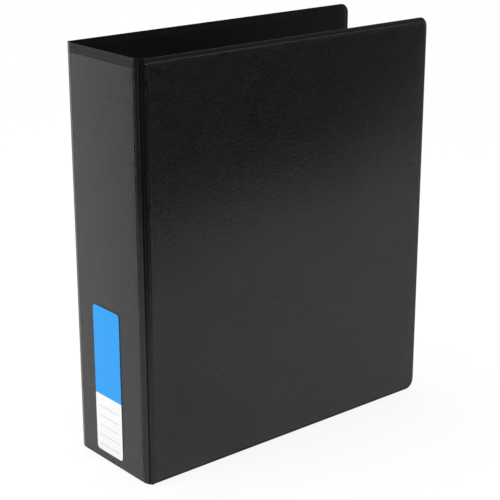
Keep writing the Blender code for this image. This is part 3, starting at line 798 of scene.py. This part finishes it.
# %% Label
LABEL_SPLIT = 54.6 * MM
RULE_PITCH = 8.0 * MM
RULE_WIDTH = 0.05
RULE_FOOT = 12.5 * MM
RULE_MARGIN = 4.0 * MM
RULE_GREY = (0.42, 0.45, 0.48, 1.0)
LABEL_WHITES = ((0.84, 0.85, 0.86), (0.93, 0.93, 0.93))
LABEL_BLUES = ((0.011, 0.31, 0.83), (0.019, 0.35, 0.89))
LABEL_ROUGHNESS = (0.36, 0.46)
LABEL_SPECULAR = 0.2
PAPER_FIBRE = 2600.0


def label_finish():
    """Coated paper, printed blue above the split and ruled below it."""
    made, tree, shader = new_finish("printed_label")
    place = object_place(tree)
    axes = add_node(tree, "ShaderNodeSeparateXYZ", {0: place})
    across, up = axes.outputs["Y"], axes.outputs["Z"]
    fibre = noise(tree, place, PAPER_FIBRE)
    low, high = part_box("spine_label")

    lines = work_out(tree, work_out(tree, up, RULE_FOOT, "SUBTRACT"), RULE_PITCH, "DIVIDE")
    drawn = work_out(tree, work_out(tree, lines, 0.0, "FRACT"), RULE_WIDTH, "LESS_THAN")
    limits = (
        work_out(tree, across, low.y + RULE_MARGIN, "GREATER_THAN"),
        work_out(tree, across, high.y - RULE_MARGIN, "LESS_THAN"),
        work_out(tree, up, RULE_FOOT - MM, "GREATER_THAN"),
        work_out(tree, up, LABEL_SPLIT - RULE_MARGIN, "LESS_THAN"),
    )
    for limit in limits:
        drawn = work_out(tree, drawn, limit, "MULTIPLY")
    white = two_tones(tree, fibre, *LABEL_WHITES)
    blue = two_tones(tree, fibre, *LABEL_BLUES)
    ruled = mixed_colour(tree, drawn, white, RULE_GREY)
    upper = work_out(tree, up, LABEL_SPLIT, "GREATER_THAN")
    set_inputs(tree, shader, {
        "Base Color": mixed_colour(tree, upper, ruled, blue),
        "Roughness": ranged(tree, fibre, *LABEL_ROUGHNESS),
        "Specular IOR Level": LABEL_SPECULAR,
    })
    return made


def dress_node(node, finish):
    """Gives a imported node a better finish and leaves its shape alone."""
    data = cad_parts[node].data
    data.materials.clear()
    data.materials.append(finish)


dress_node("spine_label", label_finish())
print("Label split at", LABEL_SPLIT / MM, "mm")

# %% [markdown]
# The boards lie sealed between the sheets and are never seen, but the model holds them, so they get
# grey board with pressed fibres: noise drawn out along the height, from darker to lighter pulp.

# %% Grey board
BOARD_TONES = ((0.30, 0.28, 0.25), (0.46, 0.44, 0.40))
BOARD_STRETCH = (1.0, 1.0, 0.25)
BOARD_FIBRES = 900.0
BOARD_ROUGHNESS = (0.82, 0.95)
BOARD_RELIEF = 0.1 * MM
BOARD_STRENGTH = 0.4


def board_finish():
    """Grey board with fibres that lie along the height."""
    made, tree, shader = new_finish("grey_board")
    stretched = {"Vector": object_place(tree), "Scale": BOARD_STRETCH}
    drawn_out = add_node(tree, "ShaderNodeMapping", stretched)
    fibres = noise(tree, drawn_out.outputs[0], BOARD_FIBRES, detail=4.0)
    set_inputs(tree, shader, {
        "Base Color": two_tones(tree, fibres, *BOARD_TONES),
        "Roughness": ranged(tree, fibres, *BOARD_ROUGHNESS),
        "Normal": bumped(tree, fibres, BOARD_RELIEF, BOARD_STRENGTH),
    })
    return made


grey_board = board_finish()
for side in panels:
    dress_node(side + "_board", grey_board)
print("Boards:", len(panels))

# %% [markdown]
# The mechanism is nickel-plated steel. Plated sheet keeps faint rolling lines under a bright surface:
# noise stretched along the length moves the roughness and the bump, and a cloud moves the tone. The
# wire of the rings is drawn and polished, so its lines are finer and its gloss higher.

# %% Nickel finishes
NICKEL_CLOUD = 90.0
LINE_DEPTH = 0.02 * MM
LINE_STRENGTH = 0.12


def nickel_finish(name, dark, light, roughness, stretch, scale):
    """Plated steel, with fine lines along the way it was rolled or drawn."""
    made, tree, shader = new_finish(name)
    place = object_place(tree)
    drawn_out = add_node(tree, "ShaderNodeMapping", {"Vector": place, "Scale": stretch})
    lines = noise(tree, drawn_out.outputs[0], scale, GRAIN_DETAIL)
    set_inputs(tree, shader, {
        "Base Color": two_tones(tree, noise(tree, place, NICKEL_CLOUD), dark, light),
        "Roughness": ranged(tree, lines, *roughness),
        "Metallic": 1.0,
        "Normal": bumped(tree, lines, LINE_DEPTH, LINE_STRENGTH),
    })
    return made


sheet_nickel = nickel_finish(
    "sheet_nickel", (0.61, 0.60, 0.57), (0.66, 0.65, 0.62),
    roughness=(0.16, 0.24), stretch=(1.0, 1.0, 0.03), scale=1500.0,
)
wire_nickel = nickel_finish(
    "wire_nickel", (0.66, 0.65, 0.63), (0.76, 0.75, 0.73),
    roughness=(0.10, 0.18), stretch=(0.4, 0.4, 1.0), scale=1800.0,
)
lever_nickel = nickel_finish(
    "lever_nickel", (0.60, 0.59, 0.57), (0.70, 0.69, 0.67),
    roughness=(0.16, 0.26), stretch=(1.0, 0.1, 0.1), scale=1500.0,
)
for plate in ("arch_plate", "post_plate"):
    dress_node(plate, sheet_nickel)
print("Nickel:", sheet_nickel.name, wire_nickel.name, lever_nickel.name)

# %% [markdown]
# A press leaves no sharp corners in sheet metal. A Bevel modifier would also round the edges that the
# punches cut, which stay sharp on real sheet, so the corners are rounded in the drawn outlines.

# %% Rounded corners
PRESS_STEPS = 4


def rounded(outline, radii):
    """A closed outline with each corner rounded by its own radius."""
    made = []
    for i, corner in enumerate(outline):
        here = Vector(corner)
        before = Vector(outline[i - 1]) - here
        after = Vector(outline[(i + 1) % len(outline)]) - here
        if radii[i] == 0.0:
            made.append(corner)
            continue
        first, last = before.normalized(), after.normalized()
        half = first.angle(last) / 2
        reach = min(radii[i] / math.tan(half), before.length / 2, after.length / 2)
        bisector = (first + last).normalized()
        centre = here + bisector * (reach / math.cos(half))
        start, stop = here + first * reach - centre, here + last * reach - centre
        angle = math.atan2(start.y, start.x)
        sweep = math.atan2(stop.y, stop.x) - angle
        sweep = (sweep + math.pi) % (2 * math.pi) - math.pi
        made += arc(centre, start.length, angle, sweep, PRESS_STEPS)
    return made


print("Steps in a rounded corner:", PRESS_STEPS)

# %% [markdown]
# The housing is an arched channel of sheet steel with hemmed feet. Its side view is drawn once, with
# every corner rounded as a press rounds it, and run along the length. Slots for the rings and open
# ends for the levers are then cut out with Booleans, as a punch would cut them.

# %% Ring housing
housing_low, housing_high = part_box("ring_housing")
MECHANISM_X = (housing_low.x + housing_high.x) / 2
LINING_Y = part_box("back_lining")[0].y
HOUSING_HALF = (housing_high.x - housing_low.x) / 2
SEAT_GAP = LINING_Y - housing_high.y
HOUSING_RISE = LINING_Y - housing_low.y
SHOULDER = 6.0 * MM
SHEET = 0.9 * MM
HEM_RISE = 3.55 * MM
HEM_WIDTH = 1.6 * MM
ARCH_STEPS = 36
PRESS_RADIUS = 0.8 * MM
HEM_RADIUS = 0.25 * MM


def housing_section():
    """The housing's side view, as distances across from its middle and up from the lining."""
    sagitta = HOUSING_RISE - SHOULDER
    radius = (HOUSING_HALF**2 + sagitta**2) / (2 * sagitta)
    centre = (0.0, HOUSING_RISE - radius)
    inside = HOUSING_HALF - SHEET
    outer_spread = math.asin(HOUSING_HALF / radius)
    inner_spread = math.asin(inside / (radius - SHEET))
    quarter = math.pi / 2
    crown = arc(centre, radius, quarter - outer_spread, 2 * outer_spread, ARCH_STEPS)
    vault = arc(centre, radius - SHEET, quarter + inner_spread, -2 * inner_spread, ARCH_STEPS)
    hem = inside - HEM_WIDTH
    foot = [(hem, HEM_RISE), (hem, SEAT_GAP), (HOUSING_HALF, SEAT_GAP)]
    mirrored = [(-across, up) for across, up in foot[::-1]]
    outline = [*foot, *crown, *mirrored, (-inside, HEM_RISE), *vault, (inside, HEM_RISE)]
    smooth_run = [0.0] * (ARCH_STEPS - 1)
    hem_radii = [HEM_RADIUS] * 3
    shoulders = [PRESS_RADIUS, *smooth_run, PRESS_RADIUS]
    radii = [*hem_radii, *shoulders, *hem_radii, 0.0, 0.0, *smooth_run, 0.0, 0.0]
    return rounded(outline, radii)


def on_mechanism(across, up, level):
    """A point of the mechanism, whose own axes run across, up from the lining and along the height."""
    return Vector((MECHANISM_X + across, LINING_Y - up, level))


section = housing_section()
housing_mesh = loft(
    "ring_channel",
    [[on_mechanism(u, v, level) for u, v in section] for level in (housing_low.z, housing_high.z)],
)
print("Housing section has", len(section), "points")

# %% [markdown]
# The punch for a ring slot is a block with round corners, and the punch for a lever's bay is a wider
# one at each end. All of them are joined in one cutter, which is removed after the cut.

# %% Slots and bays in the housing
WIRE_RADIUS = 2.1 * MM
FOOT_ACROSS = 11.0 * MM
SLOT_CLEARANCE = 0.8 * MM
SLOT_FLOOR = 4.7 * MM
RING_SWAY = 1.3 * MM
BAY_HALF = 9.0 * MM
BAY_LENGTH = 12.0 * MM
BAY_RADIUS = 2.0 * MM
RING_NUMBERS = (1, 2, 3, 4)


def middle_height(node):
    """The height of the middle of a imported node."""
    return sum(corner.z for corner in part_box(node)) / 2


ring_levels = [middle_height(f"ring_arch_{i}") for i in RING_NUMBERS]


def punch(low, high, radius, bottom):
    """A block with round corners, given across and along the height, that cuts from a rise upwards."""
    corners = [(low[0], low[1]), (high[0], low[1]), (high[0], high[1]), (low[0], high[1])]
    outline = rounded(corners, [radius] * 4)
    rises = (bottom, 2 * HOUSING_RISE)
    return loft("punch", [[on_mechanism(u, rise, z) for u, z in outline] for rise in rises])


def housing_punches():
    """All the punches in one mesh."""
    near = FOOT_ACROSS - WIRE_RADIUS - SLOT_CLEARANCE
    far = FOOT_ACROSS + WIRE_RADIUS + SLOT_CLEARANCE + RING_SWAY
    half = WIRE_RADIUS + SLOT_CLEARANCE
    punches = []
    for level in ring_levels:
        for left, right in ((near, far), (-far, -near)):
            punches.append(punch((left, level - half), (right, level + half), half / 2, SLOT_FLOOR))
    for edge, end in ((housing_high.z, 1), (housing_low.z, -1)):
        spans = sorted((edge - end * BAY_LENGTH, edge + end * BAY_LENGTH))
        punches.append(punch((-BAY_HALF, spans[0]), (BAY_HALF, spans[1]), BAY_RADIUS, SEAT_GAP))
    return joined("housing_punches", *punches)


def cut(mesh, cutter_mesh):
    """Takes one mesh away from another with a Boolean, and returns a plain mesh."""
    target = linked("cut_target", mesh)
    cutter = linked("cut_punch", cutter_mesh)
    modifier = target.modifiers.new("punch", "BOOLEAN")
    modifier.operation = "DIFFERENCE"
    modifier.solver = "EXACT"
    modifier.object = cutter
    made = plain_mesh(target)
    bpy.data.objects.remove(cutter, do_unlink=True)
    return made


channel = cut(housing_mesh, housing_punches())
add_piece("ring_channel", channel, sheet_nickel, ["ring_housing"], "back_cover")
print("Housing has", len(channel.polygons), "faces")

# %% [markdown]
# Each ring is round wire bent to a D. One tree follows the drawn path with a round section, narrows
# the tips a little, and repeats the wire at every level. The straight halves ride on one hinge plate
# and the curved halves on the other, so there is one mesh for each.

# %% Ring paths
FOOT_RISE = 2.7 * MM
TOP_RISE = 75.4 * MM
POST_BEND = 14.0 * MM
BELLY_RADIUS = 27.0 * MM
BELLY_TURN = math.radians(125.0)
FOOT_BEND = 10.0 * MM
JOINT_ACROSS = -4.5 * MM
JOINT_FLAT = 1.5 * MM
JOINT_GAP = 0.15 * MM
TIP_LENGTH = 0.5 * MM
TIP_SCALE = 0.8
POST_STEPS = 20
BELLY_STEPS = 40
FOOT_STEPS = 14


def post_path():
    """The straight half: up from the plate, a quarter bend, then its share of the flat at the top."""
    centre = (JOINT_ACROSS + JOINT_FLAT, TOP_RISE - POST_BEND)
    bend = arc(centre, POST_BEND, 0.0, math.pi / 2, POST_STEPS)
    return [(FOOT_ACROSS, FOOT_RISE), *bend, (JOINT_ACROSS + JOINT_GAP, TOP_RISE)]


def arch_path():
    """The curved half: a slanted leg up from the plate, round the belly and over to the flat."""
    centre = (JOINT_ACROSS - JOINT_FLAT, TOP_RISE - BELLY_RADIUS)
    belly = arc(centre, BELLY_RADIUS, math.pi / 2, BELLY_TURN, BELLY_STEPS)
    slant = BELLY_TURN - math.pi / 2
    leg_u, leg_v = belly[-1]
    bend_u = -FOOT_ACROSS - FOOT_BEND * (1 - math.cos(slant))
    bend_v = leg_v - (bend_u - leg_u) / math.tan(slant)
    centre = (-FOOT_ACROSS - FOOT_BEND, bend_v - FOOT_BEND * math.sin(slant))
    bend = arc(centre, FOOT_BEND, slant, -slant, FOOT_STEPS)
    path = [(JOINT_ACROSS - JOINT_GAP, TOP_RISE), *belly, *bend, (-FOOT_ACROSS, FOOT_RISE)]
    return path[::-1]


def path_mesh(name, path):
    """A run of edges along a path, with a swell that narrows its last point, the ring's tip."""
    tip, before = Vector(path[-1]), Vector(path[-2])
    shoulder = tip + (before - tip).normalized() * TIP_LENGTH
    points = [*path[:-1], tuple(shoulder), path[-1]]
    mesh = bpy.data.meshes.new(name)
    edges = [(i, i + 1) for i in range(len(points) - 1)]
    mesh.from_pydata([on_mechanism(u, v, 0.0) for u, v in points], edges, [])
    swell = mesh.attributes.new("swell", "FLOAT", "POINT")
    swell.data.foreach_set("value", [1.0] * (len(points) - 1) + [TIP_SCALE])
    return mesh


print("Ring levels in mm:", [round(level / MM, 1) for level in ring_levels])

# %% [markdown]
# The tree for the wire turns the run of edges into a curve, sweeps a circle along it with the swell
# as its scale, and then sets the copies one below the other.

# %% Rings
WIRE_SIDES = 20


def wire_tree():
    """Round wire along the incoming path, repeated in a row."""
    own = {"Path": "NodeSocketGeometry", "Wire Radius": "NodeSocketFloat", "Sides": "NodeSocketInt"}
    tree, start = new_tree("wire_rings", {**own, **ROW_INPUTS})
    curve = add_node(tree, "GeometryNodeMeshToCurve", {"Mesh": start["Path"]})
    circle = {"Resolution": start["Sides"], "Radius": start["Wire Radius"]}
    profile = add_node(tree, "GeometryNodeCurvePrimitiveCircle", circle)
    swell = add_node(tree, "GeometryNodeInputNamedAttribute", {"Name": "swell"}, data_type="FLOAT")
    sweep = {
        "Curve": curve.outputs[0], "Profile Curve": profile.outputs[0],
        "Scale": swell.outputs[0], "Fill Caps": True,
    }
    wire = add_node(tree, "GeometryNodeCurveToMesh", sweep)
    return set_in_row(tree, start, wire.outputs[0])


wire_rings = wire_tree()
for kind, path in (("arch", arch_path()), ("post", post_path())):
    name = kind + "_rings"
    inputs = {
        "Wire Radius": WIRE_RADIUS, "Sides": WIRE_SIDES, "Copies": len(ring_levels),
        "First Place": (0.0, 0.0, ring_levels[0]),
        "Step": (0.0, 0.0, ring_levels[1] - ring_levels[0]), "Finish": wire_nickel,
    }
    rings = grown(name, path_mesh(name + "_path", path), wire_rings, inputs)
    nodes = [f"ring_{kind}_{i}" for i in RING_NUMBERS]
    add_piece(name, rings, wire_nickel, nodes, kind + "_carrier")
    print(name, "has", len(rings.polygons), "faces")

# %% [markdown]
# Rivets and pins are turned parts. A Screw modifier could spin them, but it leaves doubled points on
# the axis, so a profile from the axis out and back is spun into a closed shape here, ring by ring.

# %% Turned shapes
TURN_STEPS = 32
DOME_STEPS = 8


def dome(radius, rise, base, side):
    """The profile of a domed head, from its pole to its edge, standing out from a base."""
    ball = (radius**2 + rise**2) / (2 * rise)
    spread = math.asin(min(radius / ball, 1.0))
    foot = ball * math.cos(spread)
    angles = [spread * i / DOME_STEPS for i in range(DOME_STEPS + 1)]
    return [(ball * math.sin(a), base + side * (ball * math.cos(a) - foot)) for a in angles]


def turned(name, profile, point):
    """A closed shape spun from a profile that starts and ends on the axis."""
    bm = bmesh.new()
    rings = []
    for radius, along in profile:
        if radius < LEAST_RADIUS:
            rings.append([bm.verts.new(point(0.0, 0.0, along))])
            continue
        turns = [2 * math.pi * i / TURN_STEPS for i in range(TURN_STEPS)]
        spots = [point(radius * math.cos(a), radius * math.sin(a), along) for a in turns]
        rings.append([bm.verts.new(spot) for spot in spots])
    for lower, upper in zip(rings, rings[1:]):
        for i in range(TURN_STEPS):
            corners = [lower[i - 1], lower[i]] if len(lower) > 1 else lower[:]
            corners += [upper[i], upper[i - 1]] if len(upper) > 1 else upper[:]
            bm.faces.new(corners)
    return closed_mesh(bm, name)


print("Steps in a turn:", TURN_STEPS)

# %% [markdown]
# The rivet has a low domed head outside the cover and a crown on the housing, and the pin has a small
# dome at each end. The row tree sets the two copies of each, as it set the weld pips.

# %% Rivets and pins
SHANK = 2.5 * MM
CROWN_RADIUS = 4.25 * MM
CROWN_GAP = 0.05 * MM
HEAD_RADIUS = 5.0 * MM
HEAD_SINK = 0.02 * MM
PIN_RADIUS = 1.2 * MM
PIN_DOME = 0.4 * MM
PIVOT_RISE = 4.7 * MM


def pair(name, mesh, node):
    """Two copies of a turned shape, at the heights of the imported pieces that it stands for."""
    nodes = [node + "_top", node + "_bottom"]
    levels = [middle_height(item) for item in nodes]
    step = (0.0, 0.0, levels[1] - levels[0])
    inputs = {"Copies": 2, "First Place": (0.0, 0.0, levels[0]), "Step": step, "Finish": sheet_nickel}
    made = grown(name, mesh, row_of_copies, inputs)
    add_piece(name, made, sheet_nickel, nodes, "back_cover")
    print(name, "at", [round(level / MM, 1) for level in levels], "mm")


rivet_low, rivet_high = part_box("rivet_top")
crown_seat = HOUSING_RISE + CROWN_GAP
crown_rise = LINING_Y - rivet_low.y - crown_seat
head_seat = LINING_Y - BACK_FACE + SKIN_DEPTH - HEAD_SINK
head_rise = rivet_high.y - LINING_Y + head_seat
crown = dome(CROWN_RADIUS, crown_rise, crown_seat, 1)
head = dome(HEAD_RADIUS, head_rise, head_seat, -1)
rivet_profile = [*crown, (SHANK, crown_seat), (SHANK, head_seat), *head[::-1]]
rivet = turned("rivet", rivet_profile, lambda a, b, along: on_mechanism(a, along, b))
pair("cover_rivets", rivet, "rivet")

pin_half = (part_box("lever_pin_top")[1].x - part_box("lever_pin_top")[0].x) / 2
far = dome(PIN_RADIUS, PIN_DOME, pin_half - PIN_DOME, 1)
near = dome(PIN_RADIUS, PIN_DOME, PIN_DOME - pin_half, -1)
pin = turned("pin", [*far, *near[::-1]], lambda a, b, along: on_mechanism(along, PIVOT_RISE + a, b))
pair("lever_pins", pin, "lever_pin")

# %% [markdown]
# A lever is pressed from sheet: its arm stands up through the bay, and its tip is bent outwards for the
# thumb. The arm is lofted along its bent path, so that the bend and the round end come out smooth.

# %% Lever arm
LEVER_HALF = 8.0 * MM
LEVER_SHEET = 0.8 * MM
ARM_LEAN = math.radians(25.0)
TIP_LEAN = math.radians(55.0)
ARM_LENGTH = 12.5 * MM
TIP_REACH = 6.5 * MM
ARM_BEND = 6.0 * MM
TIP_ROUND = 4.0 * MM
EDGE_SHARE = 0.45
ARM_STEPS = 8
TIP_STEPS = 16


def arm_path():
    """The middle of the arm, from the hub to the tip, with a round bend, and each point's lean."""
    turn = TIP_LEAN - ARM_LEAN
    cut_back = ARM_BEND * math.tan(turn / 2)
    runs = (
        (ARM_LENGTH - cut_back, ARM_STEPS, 0.0),
        (ARM_BEND * turn, ARM_STEPS, turn),
        (TIP_REACH - cut_back, TIP_STEPS, 0.0),
    )
    inwards, up, lean = 0.0, 0.0, ARM_LEAN
    points = [(inwards, up, lean)]
    for length, steps, bend in runs:
        for _ in range(steps):
            lean += bend / steps / 2
            inwards -= math.sin(lean) * length / steps
            up += math.cos(lean) * length / steps
            lean += bend / steps / 2
            points.append((inwards, up, lean))
    return points


def arm_loops():
    """Sections of the arm with broken edges, narrowing to a round end."""
    path = arm_path()
    runs = [math.dist(a[:2], b[:2]) for a, b in zip(path, path[1:])]
    left = [sum(runs[i:]) for i in range(len(path))]
    edge = LEVER_SHEET * EDGE_SHARE
    tall = LEVER_SHEET - edge
    loops = []
    for (inwards, up, lean), rest in zip(path, left):
        short = max(TIP_ROUND - rest, 0.0)
        half = LEVER_HALF - TIP_ROUND + math.sqrt(max(TIP_ROUND**2 - short**2, 0.0))
        flat = half - edge
        first = [(half, -tall), (half, tall), (flat, LEVER_SHEET), (-flat, LEVER_SHEET)]
        outline = first + [(-u, -out) for u, out in first]
        along, rise = math.cos(lean), math.sin(lean)
        loops.append([(u, inwards + along * out, up + rise * out) for u, out in outline])
    return loops


print("Arm has", len(arm_path()), "sections")

# %% [markdown]
# The arm grows out of a hub with two jaws, which hold the plates. The hub is an outline run across the
# width. Both are drawn upright, and then tipped to the place where the lever holds the rings closed.

# %% Levers
LEVER_TILT = math.radians(15.4)
HUB_RADIUS = 2.35 * MM
HUB_STEPS = 20
JAW_HALF = 1.35 * MM
JAW_FLOOR = 5.0 * MM
JAW_TIP = 7.5 * MM


def hub_outline():
    """The hub and its two jaws from the side."""
    hub = arc((0.0, 0.0), HUB_RADIUS, math.pi / 2, math.pi, HUB_STEPS)
    jaws = [
        (JAW_TIP, -HUB_RADIUS), (JAW_TIP, -JAW_HALF), (JAW_FLOOR, -JAW_HALF),
        (JAW_FLOOR, JAW_HALF), (JAW_TIP, JAW_HALF), (JAW_TIP, HUB_RADIUS),
    ]
    return [*hub, *jaws]


def make_lever(label, end):
    """One lever, tipped to the place where it holds the rings closed."""
    pin_z = middle_height("lever_pin_" + label)

    def place(u, inwards, up):
        sunk_in = inwards * math.cos(LEVER_TILT) + up * math.sin(LEVER_TILT)
        raised = up * math.cos(LEVER_TILT) - inwards * math.sin(LEVER_TILT)
        return on_mechanism(u, PIVOT_RISE + raised, pin_z - end * sunk_in)

    name = label + "_thumb_lever"
    arm = loft(name, [[place(*point) for point in loop] for loop in arm_loops()])
    sides = (-LEVER_HALF, LEVER_HALF)
    hub = loft(name, [[place(u, inwards, up) for inwards, up in hub_outline()] for u in sides])
    mesh = joined(name, arm, hub)
    add_piece(name, mesh, lever_nickel, ["lever_" + label], label + "_lever")
    print(name, "has", len(mesh.polygons), "faces")


make_lever("top", 1)
make_lever("bottom", -1)

# %% [markdown]
# Last, the view layer is updated once more, so that every piece stands in its place.

# %% Last update
bpy.context.view_layer.update()
